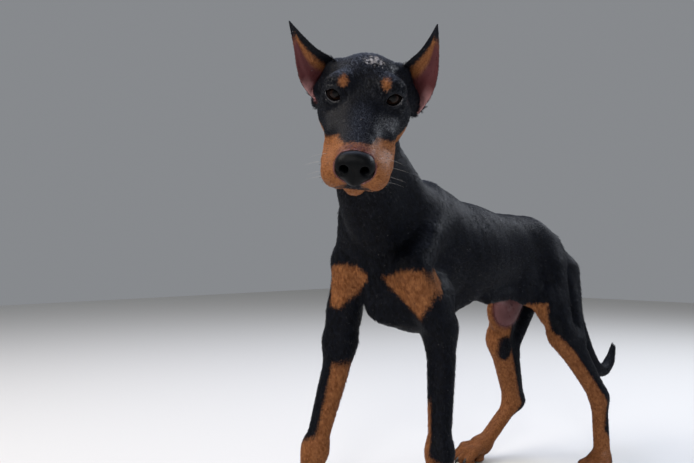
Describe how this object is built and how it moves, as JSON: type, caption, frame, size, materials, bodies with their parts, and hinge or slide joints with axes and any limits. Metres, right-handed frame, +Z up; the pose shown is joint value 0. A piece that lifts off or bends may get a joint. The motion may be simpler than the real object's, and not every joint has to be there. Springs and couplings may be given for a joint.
{
  "type": "doberman pinscher",
  "caption": "Life-size still model of a young black and tan doberman pinscher with cropped ears and a whole tail, standing square with its head turned to its left.",
  "frame": {"origin": "middle of the bottom of the bounding box, on the floor under the belly", "axes": "+Z up from the floor; -Y the way the body faces; +X to the dog's own left"},
  "size_m": [0.2852, 0.796, 0.5508],
  "materials": {
    "black_coat": "short glossy black fur",
    "tan_coat": "short rust-tan fur",
    "ear_skin": "thin bare skin",
    "nose_leather": "moist pebbled black leather",
    "eye": "polished, wet, dark brown",
    "claw": "dark smooth horn"
  },
  "bodies": {
    "root": {"head": "black_coat", "neck": "black_coat", "chest": "black_coat", "loin": "black_coat", "rump": "black_coat", "shoulder_l": "black_coat", "shoulder_r": "black_coat", "thigh_l": "black_coat", "thigh_r": "black_coat", "tail_root": "black_coat", "tail_middle": "black_coat", "tail_tip": "black_coat", "forearm_l": "tan_coat", "forearm_r": "tan_coat", "pastern_l": "tan_coat", "pastern_r": "tan_coat", "shank_l": "tan_coat", "shank_r": "tan_coat", "hind_foot_l": "tan_coat", "hind_foot_r": "tan_coat", "paw_front_l": "tan_coat", "paw_front_r": "tan_coat", "paw_hind_l": "tan_coat", "paw_hind_r": "tan_coat", "ear_l": "ear_skin", "ear_r": "ear_skin", "nose": "nose_leather", "eye_l": "eye", "eye_r": "eye", "claw_front_l_1": "claw", "claw_front_l_2": "claw", "claw_front_l_3": "claw", "claw_front_l_4": "claw", "claw_front_r_1": "claw", "claw_front_r_2": "claw", "claw_front_r_3": "claw", "claw_front_r_4": "claw", "claw_hind_l_1": "claw", "claw_hind_l_2": "claw", "claw_hind_l_3": "claw", "claw_hind_l_4": "claw", "claw_hind_r_1": "claw", "claw_hind_r_2": "claw", "claw_hind_r_3": "claw", "claw_hind_r_4": "claw"}
  },
  "joints": []
}
